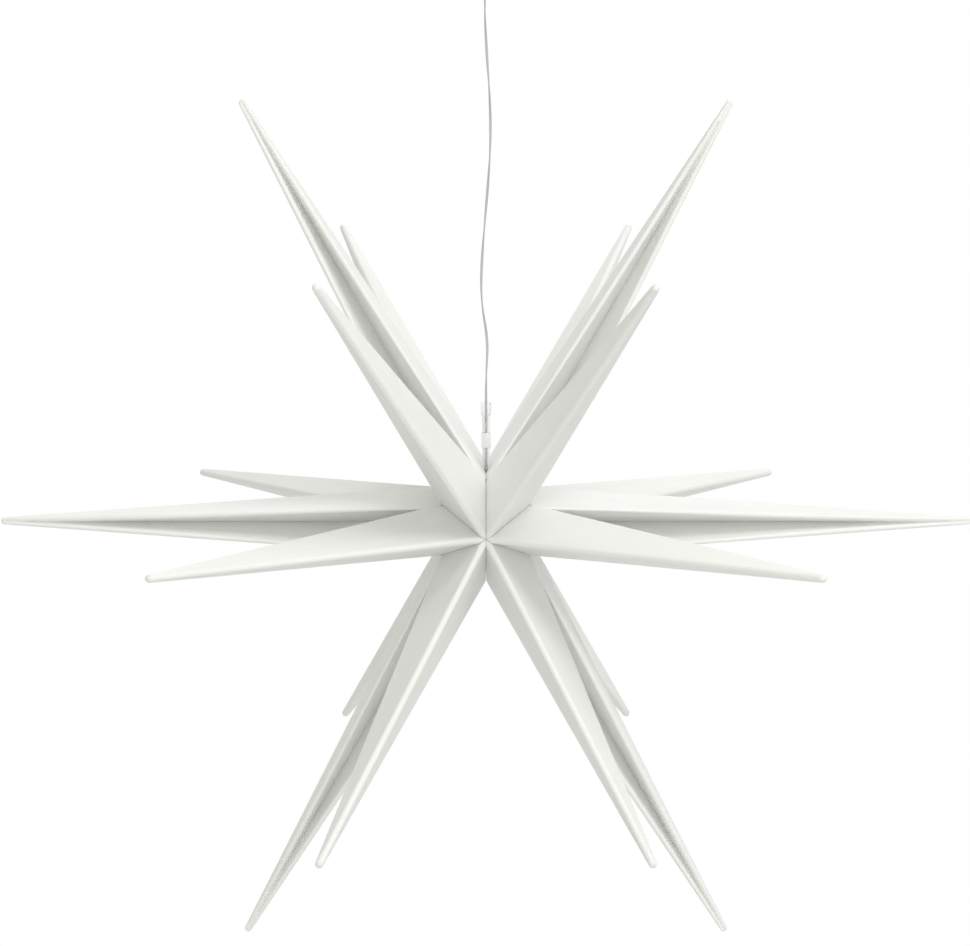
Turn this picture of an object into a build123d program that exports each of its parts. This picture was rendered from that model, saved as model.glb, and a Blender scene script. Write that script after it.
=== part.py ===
from build123d import *
import os
from math import cos, hypot, radians, sin, tan

# A hanging LED star with eighteen hollow moulded points in six arms. In each arm one point leans to the
# front, one lies in the star's own plane, with a V groove down its front and its back, and one leans to
# the rear. Inside, a drum with V shaped ribs carries the middle points, a spider at each end of the drum
# carries the leaning points, and a lamp core stands between the spiders. A thin lead carries the star
# by a clear gland between its two upper arms, and ends in a cup on the ceiling.
# Millimetres. +Z is up, the star's front faces -Y, and the origin is on the ceiling above the star.

# Star: in each arm, reach is the distance from the star's axis, front the distance before its own plane
ARMS = 6
STAR_RADIUS = 500.0
POINT_TILT = 50.3
APEX_FRONT = 132.0
BELT_RADIUS = 51.3
NOTCH_REACH = 55.8
NOTCH_FRONT = 77.6
GROOVE_REACH = 50.7
WALL = 1.0
SEAM = 0.3
FIT = 0.3

# Leaning points
LEAN_EDGE = 3.6
LEAN_ROOT = 20.0
LEAN_CAVITY_END = 455.0
NOSE = 3.6
NOSE_SHARE = 0.5

# Middle points
MID_EDGE = 2.0
MID_TIP_EDGE = 1.5
MID_TIP_SIDE = 2.3
MID_TIP_FRONT = 5.5
MID_WAIST = 0.6
MID_ROOT = 38.0
MID_CAVITY_END = 450.0

# Hub drum
DRUM_RADIUS = 38.0
DRUM_WALL = 2.5
DRUM_LENGTH = 90.0
FLANGE_WIDTH = 6.0
FLANGE_THICK = 5.0
WINDOW_LENGTH = 50.0
WINDOW_WIDTH = 20.0
RIB_LENGTH = 56.0
RIB_THICK = 4.0
TONGUE_THICK = 2.0
TONGUE_END = 98.0

# Spiders
DISC_THICK = 5.0
DISC_RIM = 2.0
SOCKET_DEPTH = 3.0
SPIDER_HOLE = 12.0
SPIDER_HOLE_CIRCLE = 46.0
BLADE_THICK = 2.2
BLADE_START = 20.0
BLADE_SHOULDER = 32.0
BLADE_ROOT = 85.0
BLADE_END = 150.0
SCREW_CIRCLE = 66.0
SCREWS_PER_SPIDER = 3
SCREW_SHANK = 3.0
SCREW_LENGTH = 10.0
SCREW_HEAD = 5.6
SCREW_HEAD_THICK = 2.0
HOLE_PLAY = 0.2

# Lamp core
CORE_FLATS = 20.0
STRIP_WIDTH = 8.0
STRIP_LENGTH = 82.0
STRIP_THICK = 1.6
CHIP_SIZE = 5.0
CHIP_THICK = 1.2
CHIPS_PER_STRIP = 5
TERMINAL_WIDTH = 10.0
TERMINAL_LENGTH = 26.0
TERMINAL_HEIGHT = 10.0

# Clear gland, with heights above the star's centre
CAP_TOP = 122.5
CAP_RADIUS = 5.1
CAP_WALL = 0.9
CAP_FLARE = 112.0
SLEEVE_TOP = 106.0
SLEEVE_RADIUS = 3.8
NUT_TOP = 91.5
NUT_FLATS = 9.4
STEM_TOP = 76.0
STEM_RADIUS = 3.6
STEM_FOOT = 28.0
STEM_NUT_RADIUS = 6.0
STEM_NUT_THICK = 5.0

# Lead
LEAD_DIAMETER = 2.7
LEAD_BORE = 3.3
LEAD_DROP = 565.0
SWING_GAP = 0.6
TURN_GAP = 0.2
BEND_SHARE = 0.45
# Route from the ceiling to the gland: offset to the right, and height above the star's centre
LEAD_ROUTE = [
    (0.0, LEAD_DROP - SWING_GAP),
    (-1.8, 533.0),
    (0.4, 485.0),
    (4.0, 436.0),
    (4.9, 392.0),
    (2.4, 350.0),
    (-1.5, 305.0),
    (-4.7, 264.0),
    (-4.9, 226.0),
    (2.2, 186.0),
    (0.0, 150.0),
    (0.0, CAP_TOP + TURN_GAP),
]

# Ceiling fitting
CUP_RADIUS = 40.0
CUP_HEIGHT = 40.0
CUP_WALL = 2.0
CUP_ROUND = 14.0
STRAP_WIDTH = 16.0
STRAP_THICK = 1.6
STRAP_BEND = 2.2
EAR_HEIGHT = 14.0
EAR_SCREW_DEPTH = 9.0
MOUNT_SPACING = 58.0
MOUNT_HOLE = 4.6
CUP_SCREW_SHANK = 3.8
CUP_SCREW_LENGTH = 10.0
CUP_SCREW_HEAD = 7.0
CUP_SCREW_HEAD_THICK = 2.0
DRIVER_LENGTH = 42.0
DRIVER_WIDTH = 25.0
DRIVER_HEIGHT = 16.0
DRIVER_ROUND = 2.0
GRIP_THREAD_RADIUS = 5.0
GRIP_THREAD_TOP = 10.0
GRIP_FLANGE_RADIUS = 9.0
GRIP_FLANGE_THICK = 3.0
GRIP_TAPER = 9.0
GRIP_NOSE_RADIUS = 4.0
GRIP_NUT_FLATS = 15.0
GRIP_NUT_THICK = 4.0

# Worked out from the sizes above
ARM_ANGLE = 360.0 / ARMS
HALF_ARM = radians(ARM_ANGLE / 2)
FAR = 3 * STAR_RADIUS
TILT = radians(POINT_TILT)
GRIP_EXIT = CUP_HEIGHT + GRIP_FLANGE_THICK + GRIP_TAPER
STAR_CENTRE = Pos(0, 0, -GRIP_EXIT - LEAD_DROP)
BELT_REACH = BELT_RADIUS * cos(HALF_ARM)
BELT_SIDE = BELT_RADIUS * sin(HALF_ARM)
SIDE_SLOPE = (BELT_SIDE - MID_TIP_SIDE) / (STAR_RADIUS - BELT_REACH)
CORE_APOTHEM = CORE_FLATS / 2
DRUM_HALF = DRUM_LENGTH / 2


def side_at(reach):
    """Half width of a middle point at a reach."""
    return BELT_SIDE - SIDE_SLOPE * (reach - BELT_REACH)


def spot(reach, front, side=0.0):
    """A place in the arm that points along +X."""
    return Vector(reach, -front, side)


APEX = spot(0, APEX_FRONT)
LEAN_TIP = spot(STAR_RADIUS * cos(TILT), STAR_RADIUS * sin(TILT))
NOTCH = spot(NOTCH_REACH, NOTCH_FRONT, side_at(NOTCH_REACH))
GROOVE_END = spot(GROOVE_REACH, 0)


def belt_corner():
    """Where a leaning point's outer face meets the valley line between two arms."""
    normal = (LEAN_TIP - APEX).cross(NOTCH - APEX)
    level = normal.X * BELT_REACH + normal.Z * BELT_SIDE
    return Vector(BELT_REACH, (normal.dot(APEX) - level) / normal.Y, BELT_SIDE)


def along(place):
    """Distance of a place along a leaning point's own axis."""
    return place.X * cos(TILT) - place.Y * sin(TILT)


def across(place):
    """Distance of a place to the front of a leaning point's own axis."""
    return -place.X * sin(TILT) - place.Y * cos(TILT)


def on_arms(solid):
    """The same solid in every arm."""
    return [Rot(0, -ARM_ANGLE * arm, 0) * solid for arm in range(ARMS)]


def rounded(corners, radius):
    """A convex outline that keeps a radius outside its corners, which run anticlockwise."""
    corners = [Vector(x, y) for x, y in corners]
    edges = []
    for before, corner, after in zip(corners[-1:] + corners, corners, corners[1:] + corners[:1]):
        incoming = (corner - before).normalized()
        outgoing = (after - corner).normalized()
        out_in = Vector(incoming.Y, -incoming.X) * radius
        out_on = Vector(outgoing.Y, -outgoing.X) * radius
        middle = (out_in + out_on).normalized() * radius
        edges.append(ThreePointArc(corner + out_in, corner + middle, corner + out_on))
        edges.append(Line(corner + out_on, after + out_on))
    return make_face(edges)


def lean_section(station, radius):
    """Rounded kite across a leaning point, whose corner lines run together just past the tip."""
    vanish = STAR_RADIUS + NOSE
    left = vanish - station
    ridge = (across(APEX) - LEAN_EDGE) * left / (vanish - along(APEX))
    notch = across(NOTCH) * left / (vanish - along(NOTCH))
    half = (NOTCH.Z - LEAN_EDGE) * left / (vanish - along(NOTCH))
    groove = (across(GROOVE_END) + LEAN_EDGE) * left / (vanish - along(GROOVE_END))
    outline = rounded([(groove, 0), (notch, -half), (ridge, 0), (notch, half)], radius)
    return lean_plane(station) * outline


def lean_plane(station):
    """Plane square to a leaning point's axis, with X to the front."""
    axis = Vector(cos(TILT), -sin(TILT), 0)
    return Plane(origin=axis * station, x_dir=Vector(-sin(TILT), -cos(TILT), 0), z_dir=axis)


def mid_section(reach, radius, scale=1.0):
    """Rounded triangle across the upper cell of a middle point."""
    share = (reach - NOTCH_REACH) / (STAR_RADIUS - NOTCH_REACH)
    edge = MID_EDGE + (MID_TIP_EDGE - MID_EDGE) * share
    front = NOTCH_FRONT + (MID_TIP_FRONT - NOTCH_FRONT) * share - edge
    top = side_at(reach) - edge
    waist = MID_WAIST * edge / MID_EDGE
    corners = [(-front * scale, top), (0, waist), (front * scale, top)]
    outline = rounded(corners, (edge - MID_EDGE + radius) * scale)
    return Plane(origin=(reach, 0, 0), x_dir=(0, -1, 0), z_dir=(-1, 0, 0)) * outline


def front_region(grow):
    """Wedge that holds a front point's root: its faces pass the notches and the end of the groove."""
    normal = (NOTCH - GROOVE_END).cross(belt_corner() - GROOVE_END)
    level = hypot(normal.X, normal.Y)
    slope = abs(level / normal.Z)
    inward = Vector(normal.X, normal.Y, 0) / level
    if inward.X > 0:
        inward = inward * -1
    ridge = Vector(inward.Y, -inward.X, 0)
    start = GROOVE_END - inward * grow
    outline = Polygon((0, 0), (FAR, slope * FAR), (FAR, -slope * FAR), align=None)
    return extrude(Plane(origin=start, x_dir=inward, z_dir=ridge) * outline, FAR, both=True)


def front_half(gap):
    """Everything before the star's own plane, less half a gap."""
    return Pos(0, -(FAR + gap) / 2, 0) * Box(FAR, FAR, FAR)


def arm_wedge(gap):
    """Wedge that holds one arm, half a gap short of its neighbours."""
    start = gap / 2 / sin(HALF_ARM)
    reach = FAR + start
    outline = Polygon((start, 0), (reach, FAR * tan(HALF_ARM)), (reach, -FAR * tan(HALF_ARM)), align=None)
    return extrude(Plane.XZ * outline, FAR, both=True)


def front_point():
    """One hollow leaning point, open at its root."""
    tip = STAR_RADIUS - NOSE
    outer = loft(
        [
            lean_section(LEAN_ROOT, LEAN_EDGE),
            lean_section(tip, LEAN_EDGE),
            lean_section(STAR_RADIUS, LEAN_EDGE * NOSE_SHARE),
        ],
        ruled=True,
    )
    inner_edge = LEAN_EDGE - WALL
    cavity = loft([lean_section(LEAN_ROOT, inner_edge), lean_section(LEAN_CAVITY_END, inner_edge)], ruled=True)
    return (outer - cavity) & front_region(-SEAM / 2) & front_half(SEAM) & arm_wedge(SEAM)


def middle_cell():
    """Upper half of a middle point: a hollow three-sided cell."""
    tip = STAR_RADIUS - NOSE
    outer = loft(
        [mid_section(MID_ROOT, MID_EDGE), mid_section(tip, MID_EDGE), mid_section(STAR_RADIUS, MID_EDGE, NOSE_SHARE)],
        ruled=True,
    )
    inner_edge = MID_EDGE - WALL
    cavity = loft([mid_section(MID_ROOT, inner_edge), mid_section(MID_CAVITY_END, inner_edge)], ruled=True)
    return outer, cavity


def middle_point():
    """One middle point: two cells that meet in a thin waist, so that a groove runs down each face."""
    outer, cavity = middle_cell()
    shell = outer + outer.mirror(Plane.XY)
    shell = shell - cavity - cavity.mirror(Plane.XY)
    region = front_region(SEAM / 2)
    return (shell - region - region.mirror(Plane.XZ)) & arm_wedge(SEAM)


def points():
    """All eighteen points, with room for the gland's stem between the two upper middle ones."""
    front = front_point()
    made = {}
    stem_hole = Cylinder(STEM_RADIUS + FIT, BELT_RADIUS, align=(Align.CENTER, Align.CENTER, Align.MIN))
    stem_hole = Pos(0, 0, BELT_RADIUS / 2) * stem_hole
    for name, point in [("front", front), ("middle", middle_point()), ("rear", front.mirror(Plane.XZ))]:
        for number, placed in enumerate(on_arms(point), start=1):
            if name == "middle" and number in (ARMS // 3, ARMS // 3 + 1):
                placed = placed - stem_hole
            made[f"{name}_point_{number}"] = placed
    return made


def along_front(solid):
    """Turn a solid that stands on XY so that it stands on the star's plane, towards the front."""
    return Rot(90, 0, 0) * solid


def tongue():
    """Flat tongue under a middle point's upper side wall, cut off on the plane between two arms."""
    rise = hypot(1, SIDE_SLOPE)
    outline = []
    for depth in (WALL + FIT, WALL + FIT + TONGUE_THICK):
        level = BELT_SIDE + SIDE_SLOPE * BELT_REACH - depth * rise
        start = level / (tan(HALF_ARM) + SIDE_SLOPE)
        outline.append([(start, level - SIDE_SLOPE * start), (TONGUE_END, level - SIDE_SLOPE * TONGUE_END)])
    corners = outline[0] + outline[1][::-1]
    return extrude(Plane.XZ * Polygon(*corners, align=None), RIB_LENGTH / 2, both=True)


def rib():
    """Radial rib from the drum to the root of two tongues, in the plane between two arms."""
    level = BELT_SIDE + SIDE_SLOPE * BELT_REACH - (WALL + FIT + TONGUE_THICK) * hypot(1, SIDE_SLOPE)
    end = level / (tan(HALF_ARM) + SIDE_SLOPE) / cos(HALF_ARM) + TONGUE_THICK / 2
    start = DRUM_RADIUS - DRUM_WALL / 2
    plate = Pos((start + end) / 2, 0, 0) * Box(end - start, RIB_LENGTH, RIB_THICK)
    return Rot(0, -ARM_ANGLE / 2, 0) * plate


def screw_spots():
    """Where the screws hold each spider, in the planes between two arms."""
    turn = 360.0 / SCREWS_PER_SPIDER
    return [Rot(0, 0, ARM_ANGLE / 2 + turn * n) * Pos(SCREW_CIRCLE / 2, 0, 0) for n in range(SCREWS_PER_SPIDER)]


def hub_drum():
    """Drum with an inner flange at each end, light windows and V shaped ribs for the middle points."""
    bore = DRUM_RADIUS - DRUM_WALL
    wall = Cylinder(DRUM_RADIUS, DRUM_LENGTH) - Cylinder(bore, DRUM_LENGTH)
    flange = Cylinder(DRUM_RADIUS, FLANGE_THICK) - Cylinder(bore - FLANGE_WIDTH, FLANGE_THICK)
    flange = flange - [place * Cylinder(SCREW_SHANK / 2 + HOLE_PLAY / 2, FLANGE_THICK) for place in screw_spots()]
    level = DRUM_HALF - FLANGE_THICK / 2
    drum = along_front(wall + Pos(0, 0, level) * flange) + along_front(Pos(0, 0, -level) * flange)
    window = Pos(DRUM_RADIUS, 0, 0) * Box(4 * DRUM_WALL, WINDOW_LENGTH, WINDOW_WIDTH)
    drum = drum - on_arms(window)
    drum = drum + on_arms(tongue()) + on_arms(tongue().mirror(Plane.XY)) + on_arms(rib())
    return drum - Cylinder(STEM_RADIUS + FIT / 2, FAR, align=(Align.CENTER, Align.CENTER, Align.MIN))


def blade():
    """Flat blade in the mid plane of an arm, which fills a front point's root from ridge to groove."""

    def mid_plane(station, corner, inset):
        vanish = STAR_RADIUS + NOSE
        offset = (across(corner) + inset) * (vanish - station) / (vanish - along(corner))
        return station * cos(TILT) - offset * sin(TILT), station * sin(TILT) + offset * cos(TILT)

    corners = [
        (BLADE_START, DRUM_HALF + DISC_THICK / 2),
        (BLADE_START, DRUM_HALF + BLADE_SHOULDER),
        mid_plane(BLADE_END, APEX, -LEAN_EDGE),
        mid_plane(BLADE_END, GROOVE_END, LEAN_EDGE),
        mid_plane(BLADE_ROOT, GROOVE_END, LEAN_EDGE),
    ]
    outline = Polygon(*[(reach, -front) for reach, front in corners], align=None)
    return extrude(Plane.XY * outline, BLADE_THICK / 2, both=True)


def front_spider():
    """Disc on the end of the drum, with a socket for the lamp core and six blades for the points."""
    disc = Cylinder(DRUM_RADIUS - DISC_RIM, DISC_THICK, align=(Align.CENTER, Align.CENTER, Align.MIN))
    disc = disc - [place * Cylinder(SCREW_SHANK / 2 + HOLE_PLAY / 2, 2 * DISC_THICK) for place in screw_spots()]
    hole = Pos(SPIDER_HOLE_CIRCLE / 2, 0, 0) * Cylinder(SPIDER_HOLE / 2, 2 * DISC_THICK)
    disc = disc - [Rot(0, 0, ARM_ANGLE * (arm + 0.5)) * hole for arm in range(ARMS)]
    disc = disc - extrude(core_outline(HOLE_PLAY / 2), SOCKET_DEPTH)
    disc = along_front(Pos(0, 0, DRUM_HALF) * disc)
    return disc + on_arms(blade())


def core_outline(grow=0.0):
    """Hexagon of the lamp core with one flat side up."""
    return RegularPolygon(CORE_APOTHEM + grow, 6, major_radius=False)


def hub_screws():
    """Pan head screws through both spiders into the drum's flanges."""
    shank = Cylinder(SCREW_SHANK / 2, SCREW_LENGTH, align=(Align.CENTER, Align.CENTER, Align.MAX))
    head = Cylinder(SCREW_HEAD / 2, SCREW_HEAD_THICK, align=(Align.CENTER, Align.CENTER, Align.MIN))
    head = fillet(head.edges().sort_by(Axis.Z)[-1], SCREW_HEAD_THICK / 2)
    seat = Pos(0, 0, DRUM_HALF + DISC_THICK)
    front = [along_front(seat * place * (shank + head)) for place in screw_spots()]
    return Compound(front + [screw.mirror(Plane.XZ) for screw in front])


def lamp_core():
    """Hexagonal bar between the two spiders' sockets."""
    length = 2 * (DRUM_HALF + SOCKET_DEPTH - HOLE_PLAY)
    return along_front(extrude(core_outline(), length / 2, both=True))


def core_sides():
    """Turns for the five lower sides of the core; the top side carries the terminal block."""
    return [Rot(0, 60 * side, 0) for side in range(1, 6)]


def led_strips():
    strip = Box(STRIP_WIDTH, STRIP_LENGTH, STRIP_THICK, align=(Align.CENTER, Align.CENTER, Align.MIN))
    return Compound([turn * Pos(0, 0, CORE_APOTHEM) * strip for turn in core_sides()])


def led_chips():
    chip = Box(CHIP_SIZE, CHIP_SIZE, CHIP_THICK, align=(Align.CENTER, Align.CENTER, Align.MIN))
    pitch = STRIP_LENGTH / CHIPS_PER_STRIP
    level = CORE_APOTHEM + STRIP_THICK
    places = [Pos(0, pitch * (n - (CHIPS_PER_STRIP - 1) / 2), level) for n in range(CHIPS_PER_STRIP)]
    return Compound([turn * place * chip for turn in core_sides() for place in places])


def terminal_block():
    align = (Align.CENTER, Align.CENTER, Align.MIN)
    block = Box(TERMINAL_WIDTH, TERMINAL_LENGTH, TERMINAL_HEIGHT, align=align)
    block = fillet(block.edges().filter_by(Axis.Z), TERMINAL_WIDTH / 8)
    return Pos(0, 0, CORE_APOTHEM) * block


def turned(profile):
    """A turned piece from its profile of radius and height."""
    return revolve(Plane.XZ * Polygon(*profile, align=None), Axis.Z)


def gland_cap():
    """Flared clear mouth that keeps the lead from bending sharply."""
    bore = LEAD_BORE / 2
    inner = CAP_RADIUS - CAP_WALL
    return turned([
        (bore, SLEEVE_TOP),
        (SLEEVE_RADIUS, SLEEVE_TOP),
        (CAP_RADIUS, CAP_FLARE),
        (CAP_RADIUS, CAP_TOP),
        (inner, CAP_TOP),
        (inner, CAP_FLARE),
        (bore, SLEEVE_TOP + CAP_WALL),
    ])


def tube(radius, bore, low, high):
    """Round tube between two heights."""
    return turned([(bore, low), (radius, low), (radius, high), (bore, high)])


def gland_sleeve():
    return tube(SLEEVE_RADIUS, LEAD_BORE / 2, NUT_TOP, SLEEVE_TOP)


def gland_nut():
    """Six-sided clamp nut."""
    body = extrude(RegularPolygon(NUT_FLATS / 2, 6, major_radius=False), NUT_TOP - STEM_TOP)
    return Pos(0, 0, STEM_TOP) * (body - Cylinder(LEAD_BORE / 2, FAR))


def gland_stem():
    return tube(STEM_RADIUS, LEAD_BORE / 2, STEM_FOOT, STEM_TOP)


def stem_nut():
    """Round nut under the drum's wall, short of where the wall curves down beside it."""
    bore = DRUM_RADIUS - DRUM_WALL
    top = (bore**2 - STEM_NUT_RADIUS**2) ** 0.5 - HOLE_PLAY
    return tube(STEM_NUT_RADIUS, STEM_RADIUS + HOLE_PLAY / 2, top - STEM_NUT_THICK, top)


def lead_tail():
    """The lead's end inside the gland, down to the terminal block."""
    foot = CORE_APOTHEM + TERMINAL_HEIGHT
    return Pos(0, 0, foot) * Cylinder(LEAD_DIAMETER / 2, CAP_TOP - foot, align=(Align.CENTER, Align.CENTER, Align.MIN))


def lead():
    """The hanging lead: runs joined by arcs as large as the runs allow."""
    places = [Vector(right, 0, height) for right, height in LEAD_ROUTE]
    radii = []
    for before, place, after in zip(places, places[1:], places[2:]):
        turn = radians((place - before).get_angle(after - place))
        shorter = min((place - before).length, (after - place).length)
        radii.append(BEND_SHARE * shorter / tan(turn / 2))
    path = FilletPolyline(*places, radius=radii)
    section = Plane(origin=path @ 0, z_dir=path % 0) * Circle(LEAD_DIAMETER / 2)
    solid = sweep(section, path=path)
    print("lead: length %.1f, radii from %.0f" % (path.length, min(radii)))
    print("lead: volume over section times length %.4f" % (solid.volume / (section.area * path.length)))
    return solid


def ceiling_cup():
    """Round cup with a rounded lower corner and a hole for the cord grip."""
    top = (Align.CENTER, Align.CENTER, Align.MAX)
    outer = Cylinder(CUP_RADIUS, CUP_HEIGHT, align=top)
    outer = fillet(outer.edges().sort_by(Axis.Z)[0], CUP_ROUND)
    inner = Cylinder(CUP_RADIUS - CUP_WALL, CUP_HEIGHT - CUP_WALL, align=top)
    inner = fillet(inner.edges().sort_by(Axis.Z)[0], CUP_ROUND - CUP_WALL)
    screw_hole = Pos(0, 0, -EAR_SCREW_DEPTH) * Rot(0, 90, 0) * Cylinder(CUP_SCREW_SHANK / 2 + HOLE_PLAY, FAR)
    return outer - inner - Cylinder(GRIP_THREAD_RADIUS + HOLE_PLAY, FAR) - screw_hole


def strap_end():
    """Where the ears' outer faces stand, just inside the cup's round wall."""
    bore = CUP_RADIUS - CUP_WALL
    return (bore**2 - (STRAP_WIDTH / 2) ** 2) ** 0.5 - FIT


def ceiling_strap():
    """Bent steel strap: two holes for the ceiling and an ear at each end for the cup's side screws."""
    end = strap_end()
    top = (Align.CENTER, Align.CENTER, Align.MAX)
    channel = Box(2 * end, STRAP_WIDTH, EAR_HEIGHT, align=top)
    channel = fillet(channel.edges().filter_by(Axis.Y).group_by(Axis.Z)[-1], STRAP_BEND)
    hollow = Box(2 * (end - STRAP_THICK), STRAP_WIDTH, EAR_HEIGHT - STRAP_THICK, align=top)
    hollow = fillet(hollow.edges().filter_by(Axis.Y).group_by(Axis.Z)[-1], STRAP_BEND - STRAP_THICK)
    strap = channel - Pos(0, 0, -STRAP_THICK) * hollow
    strap = strap - [Pos(side * MOUNT_SPACING / 2, 0, 0) * Cylinder(MOUNT_HOLE / 2, EAR_HEIGHT) for side in (-1, 1)]
    ear_hole = Rot(0, 90, 0) * Cylinder(CUP_SCREW_SHANK / 2 + HOLE_PLAY / 2, FAR)
    return strap - Pos(0, 0, -EAR_SCREW_DEPTH) * ear_hole


def cup_screws():
    """Two side screws that hold the cup to the strap's ears."""
    shank = Cylinder(CUP_SCREW_SHANK / 2, CUP_SCREW_LENGTH, align=(Align.CENTER, Align.CENTER, Align.MAX))
    head = Cylinder(CUP_SCREW_HEAD / 2, CUP_SCREW_HEAD_THICK, align=(Align.CENTER, Align.CENTER, Align.MIN))
    head = fillet(head.edges().sort_by(Axis.Z)[-1], CUP_SCREW_HEAD_THICK / 2)
    screw = Pos(CUP_RADIUS + HOLE_PLAY / 2, 0, -EAR_SCREW_DEPTH) * Rot(0, 90, 0) * (shank + head)
    return Compound([screw, screw.mirror(Plane.YZ)])


def driver_box():
    """LED driver under the strap, with rounded upright edges."""
    top = (Align.CENTER, Align.CENTER, Align.MAX)
    box = Box(DRIVER_LENGTH, DRIVER_WIDTH, DRIVER_HEIGHT, align=top)
    box = fillet(box.edges().filter_by(Axis.Z), DRIVER_ROUND)
    return Pos(0, 0, -STRAP_THICK) * box


def cord_grip():
    """Tapered cord grip: threaded neck, flange under the cup and a nose round the lead."""
    bore = LEAD_BORE / 2
    flange = -CUP_HEIGHT - GRIP_FLANGE_THICK
    return turned([
        (bore, -GRIP_EXIT),
        (GRIP_NOSE_RADIUS, -GRIP_EXIT),
        (GRIP_FLANGE_RADIUS, flange),
        (GRIP_FLANGE_RADIUS, -CUP_HEIGHT),
        (GRIP_THREAD_RADIUS, -CUP_HEIGHT),
        (GRIP_THREAD_RADIUS, GRIP_THREAD_TOP - CUP_HEIGHT),
        (bore, GRIP_THREAD_TOP - CUP_HEIGHT),
    ])


def grip_nut():
    body = extrude(RegularPolygon(GRIP_NUT_FLATS / 2, 6, major_radius=False), GRIP_NUT_THICK)
    return Pos(0, 0, CUP_WALL - CUP_HEIGHT) * (body - Cylinder(GRIP_THREAD_RADIUS + HOLE_PLAY / 2, FAR))


def lead_stub():
    """The lead's upper end, from the driver down to the grip's mouth."""
    top = -STRAP_THICK - DRIVER_HEIGHT
    align = (Align.CENTER, Align.CENTER, Align.MAX)
    return Pos(0, 0, top) * Cylinder(LEAD_DIAMETER / 2, GRIP_EXIT + top, align=align)


def star_pieces():
    """Everything that turns with the star, about its own centre."""
    spider = front_spider()
    pieces = points()
    pieces["hub_drum"] = hub_drum()
    pieces["front_spider"] = spider
    pieces["rear_spider"] = spider.mirror(Plane.XZ)
    pieces["hub_screws"] = hub_screws()
    pieces["lamp_core"] = lamp_core()
    pieces["led_strips"] = led_strips()
    pieces["led_chips"] = led_chips()
    pieces["terminal_block"] = terminal_block()
    pieces["gland_cap"] = gland_cap()
    pieces["gland_sleeve"] = gland_sleeve()
    pieces["gland_nut"] = gland_nut()
    pieces["gland_stem"] = gland_stem()
    pieces["stem_nut"] = stem_nut()
    pieces["lead_tail"] = lead_tail()
    pieces["lead"] = lead()
    return pieces


def ceiling_pieces():
    return {
        "ceiling_cup": ceiling_cup(),
        "ceiling_strap": ceiling_strap(),
        "cup_screws": cup_screws(),
        "driver_box": driver_box(),
        "cord_grip": cord_grip(),
        "grip_nut": grip_nut(),
        "lead_stub": lead_stub(),
    }


os.makedirs("parts", exist_ok=True)
nodes = {name: STAR_CENTRE * piece for name, piece in star_pieces().items()}
nodes.update(ceiling_pieces())
for name, piece in nodes.items():
    export_step(piece, f"parts/{name}.step")
print("wrote %d nodes" % len(nodes))
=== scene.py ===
# %% [markdown]
# A hanging star of eighteen hollow white points, on a thin twin lead with a clear gland and a
# ceiling cup. The construction comes in as a fixed frame in metres. This lesson dresses it: every
# point gets a smooth moulded skin worked out with numpy, the lead gets its two twisted cores, the
# gland its clear turned pieces, and every surface a procedural finish. First the frame is loaded,
# and its box is kept.

# %% Load the frame
from math import radians

import bpy
import numpy as np
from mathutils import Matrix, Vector


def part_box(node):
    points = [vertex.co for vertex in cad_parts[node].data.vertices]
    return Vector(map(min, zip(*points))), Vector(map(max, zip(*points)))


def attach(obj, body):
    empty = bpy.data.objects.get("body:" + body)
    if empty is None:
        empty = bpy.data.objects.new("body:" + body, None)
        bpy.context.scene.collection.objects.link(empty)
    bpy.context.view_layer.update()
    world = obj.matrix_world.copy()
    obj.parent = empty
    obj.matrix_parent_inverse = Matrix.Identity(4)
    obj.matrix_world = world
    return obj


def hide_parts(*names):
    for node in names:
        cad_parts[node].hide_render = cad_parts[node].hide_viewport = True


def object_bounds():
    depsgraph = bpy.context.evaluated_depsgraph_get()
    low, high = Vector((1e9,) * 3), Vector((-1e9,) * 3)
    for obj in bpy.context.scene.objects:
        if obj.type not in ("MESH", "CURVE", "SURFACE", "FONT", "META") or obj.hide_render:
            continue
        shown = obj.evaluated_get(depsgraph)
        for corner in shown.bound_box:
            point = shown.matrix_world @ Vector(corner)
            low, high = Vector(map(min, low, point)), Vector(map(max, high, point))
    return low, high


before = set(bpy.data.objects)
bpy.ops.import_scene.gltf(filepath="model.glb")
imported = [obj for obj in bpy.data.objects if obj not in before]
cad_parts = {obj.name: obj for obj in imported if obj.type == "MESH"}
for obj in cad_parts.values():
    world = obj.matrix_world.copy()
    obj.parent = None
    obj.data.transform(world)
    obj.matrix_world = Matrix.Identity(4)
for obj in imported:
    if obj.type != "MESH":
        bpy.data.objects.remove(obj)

CAD_LOW, CAD_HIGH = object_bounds()
MM = 0.001


def middle_of(node):
    """Middle of a frame node's box, as an array."""
    low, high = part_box(node)
    return (np.array(low) + np.array(high)) / 2


STAR = middle_of("lamp_core")
STAR_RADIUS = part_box("middle_point_1")[1].x / MM
print("star centre", STAR, "radius", STAR_RADIUS)

# %% [markdown]
# The photograph was taken with a long lens from a little above the star's centre. A level camera
# with a shifted lens could copy it, but the same camera also has to frame the star from any other
# side. So this one has no shift: it tilts down by that angle, at the same distance. Most tips then
# lie within four pixels of their places, and the rear and lower ones within about twelve.

# %% Camera
CAMERA_ELEVATION = radians(7.55)
CAMERA_DISTANCE = 4.30
CAMERA_LENS = 154.9
CAMERA_SENSOR = 36.0
CAMERA_CLIP = 100.0
AIM = STAR + np.array([-0.001, 0.0, 0.0497])


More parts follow.
